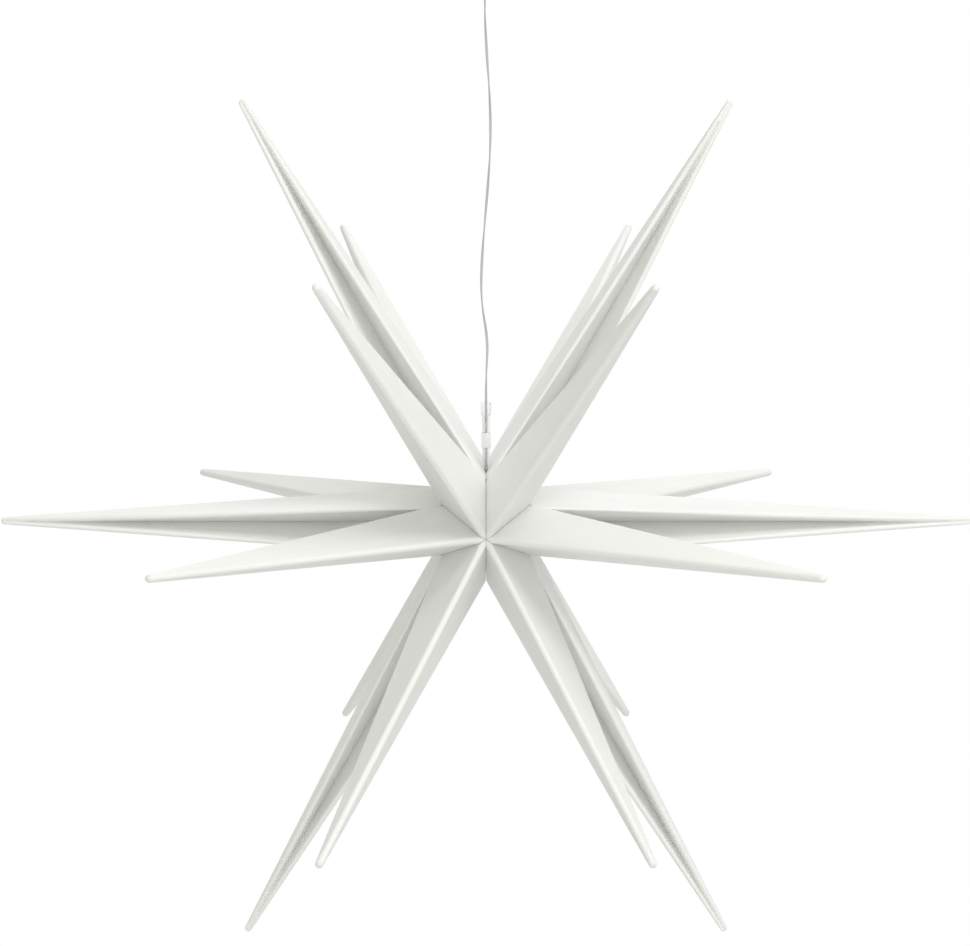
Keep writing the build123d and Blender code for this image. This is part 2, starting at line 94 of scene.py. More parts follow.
def set_camera():
    """Places the camera at its distance from the aim, tilted down by the elevation."""
    look = Vector((0, np.cos(CAMERA_ELEVATION), -np.sin(CAMERA_ELEVATION)))
    data = bpy.data.cameras.new("camera")
    data.lens = CAMERA_LENS
    data.sensor_width = CAMERA_SENSOR
    data.clip_end = CAMERA_CLIP
    camera = bpy.data.objects.new("camera", data)
    bpy.context.collection.objects.link(camera)
    camera.location = Vector(AIM) - look * CAMERA_DISTANCE
    camera.rotation_euler = look.to_track_quat("-Z", "Y").to_euler()
    bpy.context.scene.camera = camera


set_camera()
bpy.context.scene.view_settings.view_transform = "Standard"
print("camera", bpy.context.scene.camera.location)

# %% [markdown]
# Materials are node trees, so a few small helpers keep them short: one adds a node with its
# settings, one feeds a socket from a link or from a plain value, and one makes an empty material
# with its shader. Whatever is the same all over a surface is typed straight into the shader's own
# sockets.

# %% Helpers for nodes and materials
def add(tree, kind, **settings):
    """Adds a node; a setting named after a socket fills that socket, any other sets a property."""
    node = tree.nodes.new(kind)
    for name, value in settings.items():
        label = name.replace("_", " ")
        if label in node.inputs:
            node.inputs[label].default_value = value
        else:
            setattr(node, name, value)
    return node


def feed(tree, source, target):
    """Joins a socket to another, or types a plain value into it."""
    if isinstance(source, bpy.types.NodeSocket):
        tree.links.new(source, target)
    else:
        target.default_value = source


def new_material(name, **settings):
    """An empty node material: its output and a Principled shader with its settings."""
    material = bpy.data.materials.new(name)
    material.use_nodes = True
    tree = material.node_tree
    tree.nodes.clear()
    shader = add(tree, "ShaderNodeBsdfPrincipled", **settings)
    output = add(tree, "ShaderNodeOutputMaterial")
    tree.links.new(shader.outputs[0], output.inputs[0])
    return material, tree, shader


print("the frame brings", len(bpy.data.materials), "plain materials")

# %% [markdown]
# Patterns need the same few nodes again and again: sums on values, a smooth step from one range to
# another, and a mix of two colours. Each gets a helper that returns its output, ready for the next
# node. The last helper joins two of them, to tint a colour wherever a pattern is strong.

# %% Helpers for patterns
def calculate(tree, operation, *values):
    """Output of a maths node: an operation on one or two values, each a socket or a number."""
    node = add(tree, "ShaderNodeMath", operation=operation)
    for value, socket in zip(values, node.inputs):
        feed(tree, value, socket)
    return node.outputs[0]


def map_range(tree, source, low, high, to_low=0.0, to_high=1.0):
    """Output of a node that maps a range of values smoothly to another range."""
    node = add(tree, "ShaderNodeMapRange", interpolation_type="SMOOTHSTEP")
    values = {"Value": source, "From Min": low, "From Max": high,
              "To Min": to_low, "To Max": to_high}
    for label, value in values.items():
        feed(tree, value, node.inputs[label])
    return node.outputs["Result"]


def mix_colors(tree, factor, first, second):
    """Output of a node that mixes two colours; each of the three is a socket or a plain value."""
    node = add(tree, "ShaderNodeMix", data_type="RGBA")
    sockets = {socket.identifier: socket for socket in node.inputs}
    feed(tree, factor, sockets["Factor_Float"])
    feed(tree, first, sockets["A_Color"])
    feed(tree, second, sockets["B_Color"])
    return next(socket for socket in node.outputs if socket.identifier == "Result_Color")


def tint(tree, color, pattern, band, share, shade):
    """Colour with a shade mixed in, from none to a share of it, as a pattern crosses a band."""
    amount = map_range(tree, pattern, *band, 0.0, share)
    return mix_colors(tree, amount, color, (*shade, 1))


print("helpers for patterns: calculate, map_range, mix_colors, tint")

# %% [markdown]
# Moulded plastic is never one flat colour. Close up it has a fine spark-eroded grain, and over a
# hand's width its tone drifts where the wall is thicker or cooled more slowly. Both are noise, at
# two scales, and every plastic piece here shares them, so they are one node group: the drift mixes
# two colours, and the grain drives the bump and the roughness.

# %% Moulded finish, a shared node group
SOCKETS = {"float": "NodeSocketFloat", "color": "NodeSocketColor", "vector": "NodeSocketVector"}
FINISH_OUTPUTS = {"Color": "color", "Roughness": "float", "Grain": "float"}
DRIFT_BAND = (0.3, 0.7)
GRAIN_BAND = (0.2, 0.8)


def new_group(name, inputs):
    """An empty shader node group with its inputs and a finish's outputs, and its two end nodes."""
    tree = bpy.data.node_groups.new(name, "ShaderNodeTree")
    for way, sockets in (("INPUT", inputs), ("OUTPUT", FINISH_OUTPUTS)):
        for label, kind in sockets.items():
            tree.interface.new_socket(name=label, in_out=way, socket_type=SOCKETS[kind])
    return tree, add(tree, "NodeGroupInput"), add(tree, "NodeGroupOutput")


def fill_outputs(tree, start, end, tone, grain):
    """Ends a finish: tone mixes Pale and Deep, grain sets Roughness from Smooth to Dull."""
    color = mix_colors(tree, tone, start.outputs["Pale"], start.outputs["Deep"])
    dull = map_range(tree, grain, *GRAIN_BAND, start.outputs["Smooth"], start.outputs["Dull"])
    for label, source in (("Color", color), ("Roughness", dull), ("Grain", grain)):
        feed(tree, source, end.inputs[label])


def moulded_finish():
    """Group: broad noise sets the tone, and fine noise the grain."""
    inputs = {"Vector": "vector", "Pale": "color", "Deep": "color", "Drift scale": "float",
              "Grain scale": "float", "Smooth": "float", "Dull": "float"}
    tree, start, end = new_group("moulded_finish", inputs)
    drift = add(tree, "ShaderNodeTexNoise", Detail=3.0, Roughness=0.55)
    grain = add(tree, "ShaderNodeTexNoise", Detail=2.0, Roughness=0.6)
    for noise, scale in ((drift, "Drift scale"), (grain, "Grain scale")):
        feed(tree, start.outputs["Vector"], noise.inputs["Vector"])
        feed(tree, start.outputs[scale], noise.inputs["Scale"])
    tone = map_range(tree, drift.outputs["Fac"], *DRIFT_BAND)
    fill_outputs(tree, start, end, tone, grain.outputs["Fac"])
    return tree


MOULDED = moulded_finish()
print("group", MOULDED.name, [item.name for item in MOULDED.interface.items_tree])

# %% [markdown]
# Rolled and machined metal is marked in one direction. The second shared group stretches a noise
# along that direction, so that it turns into streaks, and lets the streaks change tone and gloss
# together.

# %% Drawn streaks, a shared node group
STREAK_BAND = (0.25, 0.75)


def drawn_streaks():
    """Group: noise in stretched coordinates sets both the tone and the grain."""
    inputs = {"Vector": "vector", "Stretch": "vector", "Pale": "color", "Deep": "color",
              "Smooth": "float", "Dull": "float"}
    tree, start, end = new_group("drawn_streaks", inputs)
    stretch = add(tree, "ShaderNodeVectorMath", operation="MULTIPLY")
    feed(tree, start.outputs["Vector"], stretch.inputs[0])
    feed(tree, start.outputs["Stretch"], stretch.inputs[1])
    streaks = add(tree, "ShaderNodeTexNoise", Scale=1.0, Detail=4.0, Roughness=0.6)
    feed(tree, stretch.outputs[0], streaks.inputs["Vector"])
    tone = map_range(tree, streaks.outputs["Fac"], *STREAK_BAND)
    fill_outputs(tree, start, end, tone, streaks.outputs["Fac"])
    return tree


STREAKS = drawn_streaks()
print("group", STREAKS.name, [item.name for item in STREAKS.interface.items_tree])

# %% [markdown]
# A finish is a group placed in a material: it gives the shader its colour and roughness, and a bump
# node turns its grain into relief. The two functions below do that for a plastic and for a metal.
# Their scales are in features per metre, because Object coordinates are metres here.

# %% Finishes for plastic and metal
GRAIN_HEIGHT = 0.0001


def place_group(tree, shader, group, values, bump, height):
    """Places a group with its values, feeds the shader from it, and returns its colour output."""
    node = add(tree, "ShaderNodeGroup", node_tree=group)
    coordinates = add(tree, "ShaderNodeTexCoord")
    feed(tree, coordinates.outputs["Object"], node.inputs["Vector"])
    for label, value in values.items():
        feed(tree, value, node.inputs[label])
    relief = add(tree, "ShaderNodeBump", Strength=bump, Distance=height)
    feed(tree, node.outputs["Grain"], relief.inputs["Height"])
    feed(tree, node.outputs["Color"], shader.inputs["Base Color"])
    feed(tree, node.outputs["Roughness"], shader.inputs["Roughness"])
    feed(tree, relief.outputs["Normal"], shader.inputs["Normal"])
    return node.outputs["Color"]


def moulded(name, pale, deep, smooth, dull, drift=7.0, grain=900.0, bump=0.15, height=GRAIN_HEIGHT,
            **settings):
    """Moulded plastic between two tones and two roughnesses, with settings for its shader."""
    material, tree, shader = new_material(name, **settings)
    values = {"Pale": (*pale, 1), "Deep": (*deep, 1), "Drift scale": drift, "Grain scale": grain,
              "Smooth": smooth, "Dull": dull}
    color = place_group(tree, shader, MOULDED, values, bump, height)
    return material, tree, shader, color


def drawn_metal(name, pale, deep, smooth, dull, stretch, bump=0.12):
    """Metal with streaks, whose stretch gives the features per metre along each axis."""
    material, tree, shader = new_material(name, Metallic=1.0)
    values = {"Pale": (*pale, 1), "Deep": (*deep, 1), "Smooth": smooth, "Dull": dull,
              "Stretch": stretch}
    place_group(tree, shader, STREAKS, values, bump, GRAIN_HEIGHT)
    return material


print("grain stands up to", GRAIN_HEIGHT / MM, "mm high")

# %% [markdown]
# The points are white plastic with a matte skin. It fills the mould from the root, so faint flow
# lines run along each point. They follow the point's own UV map, whose first axis runs from root to
# tip, and they only darken the shared finish a very little.

# %% White plastic of the points
FLOW_LINES = (3.0, 46.0, 1.0)


def point_plastic():
    """Matte white: the moulded finish, tinted by noise stretched along the UV map's first axis."""
    material, tree, shader, color = moulded(
        "point_plastic", (0.868, 0.872, 0.868), (0.843, 0.846, 0.838), smooth=0.46, dull=0.62,
        drift=9.0, grain=1400.0)
    coordinates = add(tree, "ShaderNodeTexCoord")
    stretch = add(tree, "ShaderNodeMapping", Scale=FLOW_LINES)
    flow = add(tree, "ShaderNodeTexNoise", Scale=1.0, Detail=3.0)
    feed(tree, coordinates.outputs["UV"], stretch.inputs["Vector"])
    feed(tree, stretch.outputs["Vector"], flow.inputs["Vector"])
    color = tint(tree, color, flow.outputs["Fac"], band=(0.45, 0.8), share=0.6,
                 shade=(0.815, 0.816, 0.805))
    feed(tree, color, shader.inputs["Base Color"])
    return material


POINT_PLASTIC = point_plastic()
print("made", POINT_PLASTIC.name)

# %% [markdown]
# The other plastics share the same finish with other values. The gland is clear, so its shader lets
# the light through; its nut is a cloudier grade. The hub's plastic is a warmer white. The lead's
# sheath is grey over two stranded cores, and its pattern follows its UV map: paler at the web
# between the cores, with slanted bands for their strands.

# %% Other plastics
def lead_sheath():
    """Grey: a cosine round the section pales the web, and a slanted wave shows the strands."""
    material, tree, shader, color = moulded(
        "lead_sheath", (0.50, 0.505, 0.51), (0.44, 0.445, 0.45), smooth=0.28, dull=0.4,
        drift=30.0, grain=2500.0)
    coordinates = add(tree, "ShaderNodeTexCoord")
    split = add(tree, "ShaderNodeSeparateXYZ")
    feed(tree, coordinates.outputs["UV"], split.inputs[0])
    web = calculate(tree, "COSINE", calculate(tree, "MULTIPLY", split.outputs["Y"], 4 * np.pi))
    strands = add(tree, "ShaderNodeTexWave", bands_direction="DIAGONAL", Scale=6.0, Distortion=0.6)
    feed(tree, coordinates.outputs["UV"], strands.inputs["Vector"])
    color = tint(tree, color, web, band=(-0.2, 1.0), share=0.6, shade=(0.64, 0.645, 0.65))
    color = tint(tree, color, strands.outputs["Fac"], band=(0.3, 0.9), share=0.25,
                 shade=(0.36, 0.36, 0.365))
    feed(tree, color, shader.inputs["Base Color"])
    return material


LEAD_SHEATH = lead_sheath()
CLEAR_PLASTIC = moulded("clear_plastic", (0.985, 0.99, 0.99), (0.96, 0.97, 0.97), smooth=0.05,
                        dull=0.14, drift=60.0, grain=600.0, Transmission_Weight=0.95, IOR=1.2)[0]
CLOUDY_PLASTIC = moulded("cloudy_plastic", (0.965, 0.97, 0.97), (0.93, 0.935, 0.935), smooth=0.3,
                         dull=0.42, drift=80.0, grain=1600.0, Transmission_Weight=0.2, IOR=1.25)[0]
HUB_PLASTIC = moulded("hub_plastic", (0.80, 0.80, 0.78), (0.74, 0.735, 0.71),
                      smooth=0.42, dull=0.6, drift=20.0)[0]
CUP_PLASTIC = moulded("cup_plastic", (0.86, 0.86, 0.845), (0.83, 0.83, 0.81),
                      smooth=0.34, dull=0.5, drift=18.0)[0]
DRIVER_PLASTIC = moulded("driver_plastic", (0.70, 0.70, 0.69), (0.62, 0.62, 0.61),
                         smooth=0.45, dull=0.62, drift=30.0)[0]
TERMINAL_PLASTIC = moulded("terminal_plastic", (0.66, 0.65, 0.58), (0.57, 0.56, 0.49),
                           smooth=0.4, dull=0.55, drift=60.0)[0]
print("made", LEAD_SHEATH.name, CLEAR_PLASTIC.name, CLOUDY_PLASTIC.name, HUB_PLASTIC.name,
      CUP_PLASTIC.name, DRIVER_PLASTIC.name, TERMINAL_PLASTIC.name)

# %% [markdown]
# The metal pieces are a zinc plated strap, plated screws and the drawn aluminium core that carries
# the lamps. The strips on it are boards with a white mask and copper tracks, and each lamp is a
# small block of yellow silicone, a little uneven where the drop was poured.

# %% Metals, boards and lamps
def strip_board():
    """White solder mask: bands along the board's length show the copper tracks under it."""
    material, tree, shader, color = moulded(
        "strip_board", (0.80, 0.81, 0.79), (0.73, 0.74, 0.72), smooth=0.3, dull=0.45,
        drift=60.0, grain=2200.0)
    coordinates = add(tree, "ShaderNodeTexCoord")
    tracks = add(tree, "ShaderNodeTexWave", bands_direction="Y", Scale=30.0, Distortion=1.0)
    feed(tree, coordinates.outputs["Object"], tracks.inputs["Vector"])
    color = tint(tree, color, tracks.outputs["Fac"], band=(0.72, 0.86), share=0.55,
                 shade=(0.62, 0.44, 0.26))
    feed(tree, color, shader.inputs["Base Color"])
    return material


STRIP_BOARD = strip_board()
LED_YELLOW = moulded("led_yellow", (0.86, 0.70, 0.20), (0.78, 0.58, 0.12),
                     smooth=0.25, dull=0.4, drift=260.0, grain=3000.0)[0]
CORE_ALUMINIUM = drawn_metal("core_aluminium", (0.76, 0.77, 0.78), (0.62, 0.63, 0.65),
                             smooth=0.3, dull=0.5, stretch=(900, 18, 900))
STRAP_STEEL = drawn_metal("strap_steel", (0.66, 0.67, 0.68), (0.50, 0.51, 0.53),
                          smooth=0.28, dull=0.5, stretch=(20, 800, 800))
SCREW_STEEL = drawn_metal("screw_steel", (0.70, 0.70, 0.69), (0.54, 0.54, 0.53),
                          smooth=0.25, dull=0.42, stretch=(500, 900, 900))
print("made", STRIP_BOARD.name, LED_YELLOW.name, CORE_ALUMINIUM.name, STRAP_STEEL.name,
      SCREW_STEEL.name)

# %% [markdown]
# The pieces that keep their frame shape only change their material. The points, the gland, the
# lead, the cup and the cord grip are made anew further down and hide theirs.

# %% Finishes for the frame's own pieces
FINISHES = {
    "hub_drum": HUB_PLASTIC,
    "front_spider": HUB_PLASTIC,
    "rear_spider": HUB_PLASTIC,
    "stem_nut": HUB_PLASTIC,
    "hub_screws": SCREW_STEEL,
    "cup_screws": SCREW_STEEL,
    "lamp_core": CORE_ALUMINIUM,
    "led_strips": STRIP_BOARD,
    "led_chips": LED_YELLOW,
    "terminal_block": TERMINAL_PLASTIC,
    "ceiling_strap": STRAP_STEEL,
    "driver_box": DRIVER_PLASTIC,
    "grip_nut": CUP_PLASTIC,
}


def finish_node(node, material):
    """Gives a frame piece one material in place of its plain one."""
    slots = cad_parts[node].data.materials
    slots.clear()
    slots.append(material)


for node, material in FINISHES.items():
    finish_node(node, material)
print("finished", len(FINISHES), "frame pieces")

# %% [markdown]
# New pieces are grids: an array of places with rows and columns, whose columns close into a ring.
# Helpers join neighbours into quads, give each corner of a quad its place in a UV map, turn the
# faces outwards, and close the two ends.

# %% Faces of a grid
def ring_quads(rows, columns, closed=False):
    """Quads between neighbouring rows whose columns form a ring; closed joins the last row on."""
    row = np.arange(rows if closed else rows - 1)[:, None]
    column = np.arange(columns)[None, :]
    here, after = row * columns, (row + 1) % rows * columns
    beside = (column + 1) % columns
    quads = np.stack([here + column, here + beside, after + beside, after + column], axis=-1)
    return quads.reshape(-1, 4)


def ring_uv(grid, closed=False):
    """UV corners of those quads: the mean length from row to row, then the share round the ring."""
    rows, columns = grid.shape[:2]
    count = rows if closed else rows - 1
    steps = np.linalg.norm(np.roll(grid, -1, axis=0) - grid, axis=-1).mean(axis=1)[:count]
    length = np.concatenate([[0.0], np.cumsum(steps)])
    row = np.repeat(np.arange(count), columns)[:, None] + np.array([0, 0, 1, 1])
    column = np.tile(np.arange(columns), count)[:, None] + np.array([0, 1, 1, 0])
    return np.stack([length[row], column / columns], axis=-1)


def outwards(places, quads, uv):
    """Turns all quads round if the flow from the middle, summed over them, runs against them."""
    corners = places[quads]
    normals = np.cross(corners[:, 2] - corners[:, 0], corners[:, 3] - corners[:, 1])
    flow = np.sum(normals * (corners.mean(axis=1) - places.mean(axis=0)))
    return (quads, uv) if flow > 0 else (quads[:, ::-1], uv[:, ::-1])


def end_caps(quads, rows, columns):
    """The first and last ring as one face each, turned the same way round as the quads."""
    ring = np.arange(columns)
    last = ring + (rows - 1) * columns
    flipped = quads[0, 0] >= columns
    return [ring if flipped else ring[::-1], last[::-1] if flipped else last]


print("three rows of four places give", len(ring_quads(3, 4)), "quads")

# %% [markdown]
# One more helper puts the arrays into a mesh, gives it a UV map and a material, and makes it ride
# on a body in place of the node that it stands for. Its faces are shaded smooth, and edges that
# turn by more than a given angle stay sharp.

# %% New pieces
def new_piece(name, grid, material, body, node, closed=False, sharp=None):
    """A mesh piece from a grid of places in metres, which rides on a body and replaces a node."""
    rows, columns = grid.shape[:2]
    places = grid.reshape(-1, 3)
    quads, uv = outwards(places, ring_quads(rows, columns, closed), ring_uv(grid, closed))
    uv = uv.reshape(-1, 2)
    faces = list(quads)
    if not closed:
        faces += end_caps(quads, rows, columns)
        uv = np.concatenate([uv, np.repeat(uv[[0, -1]], columns, axis=0)])
    mesh = bpy.data.meshes.new(name)
    mesh.from_pydata(places, [], faces)
    mesh.uv_layers.new(name="UVMap").data.foreach_set("uv", uv.astype(np.float32).ravel())
    mesh.shade_smooth()
    if sharp:
        mesh.set_sharp_from_angle(angle=radians(sharp))
    mesh.materials.append(material)
    piece = bpy.data.objects.new(name, mesh)
    bpy.context.collection.objects.link(piece)
    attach(piece, body)
    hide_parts(node)
    return piece


# %% [markdown]
# The lead is a flat twin lead that turns slowly as it hangs, so it looks wide and narrow by turns.
# It could be a plain round curve, but the two cores show. Its route is a NURBS spline with the
# frame's own points as its control points. Its line is read back as a mesh, and the section, two
# circles side by side, is carried along it, turned by an angle that grows with the height.

# %% Route of the lead
LEAD_ROUTE = [
    (0.0, 564.4), (-1.8, 533.0), (0.4, 485.0), (4.0, 436.0), (4.9, 392.0), (2.4, 350.0),
    (-1.5, 305.0), (-4.7, 264.0), (-4.9, 226.0), (2.2, 186.0), (0.0, 150.0), (0.0, 122.7),
]
SPLINE_STEPS = 24


def smooth_line(route):
    """Points of the NURBS spline whose control points are offsets and heights over the star."""
    curve = bpy.data.curves.new("route", "CURVE")
    curve.dimensions = "3D"
    spline = curve.splines.new("NURBS")
    spline.points.add(len(route) - 1)
    for point, (right, height) in zip(spline.points, route):
        point.co = (*(STAR + MM * np.array([right, 0.0, height])), 1.0)
    spline.order_u = 3
    spline.use_endpoint_u = True
    spline.resolution_u = SPLINE_STEPS
    holder = bpy.data.objects.new("route", curve)
    bpy.context.collection.objects.link(holder)
    mesh = bpy.data.meshes.new_from_object(holder)
    line = np.empty(len(mesh.vertices) * 3)
    mesh.vertices.foreach_get("co", line)
    bpy.data.objects.remove(holder)
    bpy.data.curves.remove(curve)
    bpy.data.meshes.remove(mesh)
    return line.reshape(-1, 3)


LEAD_LINE = smooth_line(LEAD_ROUTE)

# %% [markdown]
# Each core is a circle, and the outline of the pair is two arcs that meet at the web. The same
# section makes the free lead, its tail inside the clear gland and its stub inside the cord grip, so
# that the two cores run on through the clear pieces.

# %% Twin lead
CORE_RADIUS = 0.725
CORE_OFFSET = 0.625
HALF_TURN = 74.2
NARROW_HEIGHT = 152.0
ARC_STEPS = 18
UPRIGHT_STEPS = 60


def twin_outline():
    """Two arcs of one radius, centred at each side, that meet where the circles cross."""
    end = np.arccos(-CORE_OFFSET / CORE_RADIUS)
    angle = np.linspace(-end, end, ARC_STEPS, endpoint=False)
    wide, thick = CORE_OFFSET + CORE_RADIUS * np.cos(angle), CORE_RADIUS * np.sin(angle)
    right = np.stack([wide, thick], axis=-1)
    return np.concatenate([right, -right])


def twin_lead(name, line, body, node):
    """Carries the outline along a line; the turn swings its long axis from depth to side."""
    tangent = np.gradient(line, axis=0)
    tangent /= np.linalg.norm(tangent, axis=1, keepdims=True)
    depth = np.array([0.0, 1.0, 0.0])
    side = np.cross(tangent, depth)
    turn = np.pi * ((line[:, 2] - STAR[2]) / MM - NARROW_HEIGHT) / HALF_TURN
    turn = turn[:, None]
    long_axis = depth * np.cos(turn) + side * np.sin(turn)
    short_axis = side * np.cos(turn) - depth * np.sin(turn)
    wide, thick = np.split(MM * twin_outline()[None], 2, axis=-1)
    grid = line[:, None] + wide * long_axis[:, None] + thick * short_axis[:, None]
    return new_piece(name, grid, LEAD_SHEATH, body, node)


def upright_line(node):
    """Straight line down the middle of a node's box."""
    low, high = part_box(node)
    heights = np.linspace(high.z, low.z, UPRIGHT_STEPS)
    return np.stack([0 * heights, 0 * heights, heights], axis=-1)


LEAD = twin_lead("twin_lead", LEAD_LINE, "lead", "lead")
TAIL = twin_lead("twin_tail", upright_line("lead_tail"), "star", "lead_tail")
STUB = twin_lead("twin_stub", upright_line("lead_stub"), "ceiling", "lead_stub")
print("lead pieces", LEAD.name, TAIL.name, STUB.name)

# %% [markdown]
# Every arm of the star holds three points, and all six arms are alike, so the points are worked out
# once, in the arm that lies to the right. A place there has a reach from the star's axis, a front
# distance before the star's own plane, and a side distance across the arm, in millimetres. A turn
# then puts it in any arm.

# %% The arm's own frame
ARMS = 6
HALF_ARM = np.pi / ARMS
POINT_TILT = radians(50.3)
BELT_RADIUS = 51.3
NOTCH_REACH = 55.8
NOTCH_FRONT = 77.6
MID_TIP_SIDE = 3.3
BELT_REACH = BELT_RADIUS * np.cos(HALF_ARM)
BELT_SIDE = BELT_RADIUS * np.sin(HALF_ARM)


def side_at(reach):
    """Half width of a middle point, which narrows evenly from the belt corner to the tip."""
    way = (reach - BELT_REACH) / (STAR_RADIUS - BELT_REACH)
    return BELT_SIDE - (BELT_SIDE - MID_TIP_SIDE) * way


APEX = np.array([0.0, 132.0, 0.0])
NOTCH = np.array([NOTCH_REACH, NOTCH_FRONT, side_at(NOTCH_REACH)])
GROOVE_END = np.array([50.7, 0.0, 0.0])
AXIS = np.array([np.cos(POINT_TILT), np.sin(POINT_TILT), 0.0])
FORWARD = np.array([-np.sin(POINT_TILT), np.cos(POINT_TILT), 0.0])
SIDEWAYS = np.array([0.0, 0.0, 1.0])


def on_arm(places, arm):
    """Turns places of the first arm about the star's axis to another, and takes them to metres."""
    angle = 2 * HALF_ARM * arm
    reach, front, side = np.moveaxis(places, -1, 0)
    right = reach * np.cos(angle) - side * np.sin(angle)
    up = reach * np.sin(angle) + side * np.cos(angle)
    return STAR + MM * np.stack([right, -front, up], axis=-1)


print("notch", NOTCH, "belt", BELT_REACH, BELT_SIDE)

# %% [markdown]
# Where two points meet, both are trimmed by the same plane, a seam's width apart. A boolean could
# cut them, but it leaves ragged meshes, so each line along a point is simply begun later. A plane
# here is a direction and a level: a place is kept while its distance along the direction stays
# under the level. Points of neighbouring arms meet on the plane halfway between the arms. A leaning
# point and the middle point beside it meet on the plane through the notch, the belt corner and the
# end of the groove.

# %% Trimming planes
SEAM = 0.3


def belt_corner():
    """Where a leaning point's outer face, through tip, apex and notch, meets the next arm."""
    normal = np.cross(STAR_RADIUS * AXIS - APEX, NOTCH - APEX)
    level = normal[0] * BELT_REACH + normal[2] * BELT_SIDE
    return np.array([BELT_REACH, (normal @ APEX - level) / normal[1], BELT_SIDE])


def split_plane():
    """Plane between a leaning and a middle point, whose direction points to the middle one."""
    normal = np.cross(NOTCH - GROOVE_END, belt_corner() - GROOVE_END)
    normal *= np.sign(normal[2]) / np.linalg.norm(normal)
    return normal, normal @ GROOVE_END


SPLIT, SPLIT_LEVEL = split_plane()
WEDGE = np.array([-np.sin(HALF_ARM), 0.0, np.cos(HALF_ARM)])
BACKWARDS = np.array([0.0, -1.0, 0.0])
MIRROR = np.array([1.0, 1.0, -1.0])
LEAN_PLANES = [
    (WEDGE, -SEAM / 2),
    (WEDGE * MIRROR, -SEAM / 2),
    (SPLIT, SPLIT_LEVEL - SEAM / 2),
    (SPLIT * MIRROR, SPLIT_LEVEL - SEAM / 2),
    (BACKWARDS, -SEAM / 2),
]
MIDDLE_PLANES = [(WEDGE, -SEAM / 2), (-SPLIT, -SPLIT_LEVEL - SEAM / 2)]


def first_kept(root, tip, planes):
    """Share of each line from root to tip where it has passed every plane its root lies beyond."""
    share = np.zeros(len(root))
    for direction, level in planes:
        over_root = root @ direction - level
        over_tip = tip @ direction - level
        crossing = np.where(over_root > 0, over_root / (over_root - over_tip), 0.0)
        share = np.maximum(share, crossing)
    return share


print("split plane", SPLIT, SPLIT_LEVEL)

# %% [markdown]
# Each point is a thin moulded shell, open at its root. It could be a cone with a Solidify modifier,
# but then its rim would not lie on the trimming planes. So a shell is one grid, which runs from the
# cavity's end down the inside, over the rim and up the outside to a small rounded nose, where it
# closes at a pole. The columns are lines from root to tip, and start where the planes let them.

# %% Skin of a point
SKIN_ROWS = 22
INNER_ROWS = 3
NOSE_ROWS = 7
NOSE = 3.6
POLE = 0.01
WALL = 1.0
CAVITY_END = 450.0


def straight_rows(root, tip, share, count):
    """Rows along straight lines from root to tip, from each line's own share to its end."""
    way = np.linspace(0, 1, count)[:, None, None]
    along = share[None, :, None] + (1 - share[None, :, None]) * way
    return root + (tip - root) * along


def nose(tip, axis):
    """Dome over a tip outline, which shrinks by a cosine and rises by the nose times the sine."""
    angle = np.linspace(0, np.pi / 2, NOSE_ROWS)[1:, None, None]
    middle = tip.mean(axis=0)
    return middle + (tip - middle) * np.maximum(np.cos(angle), POLE) + NOSE * np.sin(angle) * axis


def hollow(outside, inside, axis):
    """Grid of a shell: the inside from its end to the rim, the outside, and the nose."""
    return np.concatenate([inside[::-1], outside, nose(outside[-1], axis)])


print("rows inside, outside and on the nose:", INNER_ROWS, SKIN_ROWS, NOSE_ROWS - 1)

# %% [markdown]
# A moulded point has rounded edges and nearly flat sides. A Bevel modifier could round the edges,
# but it would spoil the even columns, so the outline itself keeps one radius outside its corners:
# an arc at each corner and a flat side between. The plastic shrinks as it cools and leaves the flat
# sides very slightly hollow, so each one sinks by a small share of its length.

# %% Rounded outline
EDGE_STEPS = 11
FLAT_STEPS = 20
SINK = 0.004


def side_shares(steps):
    """Shares along a flat side, closer together at its two ends, without the ends themselves."""
    return (1 - np.cos(np.pi * np.linspace(0, 1, steps + 2)[1:-1])) / 2


def rounded_outline(corners, radius):
    """Outline at a radius outside anticlockwise corners.

    At each corner an arc turns from one side's normal to the next's. Between the arcs the sides
    sink by a share of their length, in a parabola.
    """
    after = np.roll(corners, -1, axis=0)
    way = after - corners
    length = np.linalg.norm(way, axis=1, keepdims=True)
    out = np.stack([way[:, 1], -way[:, 0]], axis=-1) / length
    angle = np.arctan2(out[:, 1], out[:, 0])
    turn = (angle - np.roll(angle, 1)) % (2 * np.pi)
    arc_angle = (angle - turn)[:, None] + turn[:, None] * np.linspace(0, 1, EDGE_STEPS)
    arc = corners[:, None] + radius * np.stack([np.cos(arc_angle), np.sin(arc_angle)], axis=-1)
    share = side_shares(FLAT_STEPS)[None, :, None]
    depth = radius - SINK * length[:, :, None] * 4 * share * (1 - share)
    flat = corners[:, None] + way[:, None] * share + out[:, None] * depth
    return np.concatenate([arc, flat], axis=1).reshape(-1, 2)


print("places at each corner:", EDGE_STEPS, "and along each side:", FLAT_STEPS)

# %% [markdown]
# A leaning point has a kite for its section: a blunt ridge to the front, a low edge on each side
# and a keel behind. The kite's corners all run together just past the tip, so an outline at the
# root and one at the tip give the whole skin, with straight lines between them. The rear points are
# the front ones seen in a mirror.

# %% Leaning points, front and rear
LEAN_EDGE = 3.6
LEAN_ROOT = 20.0
RIM_ANGLE = 20.0
TO_REAR = np.array([1.0, -1.0, 1.0])


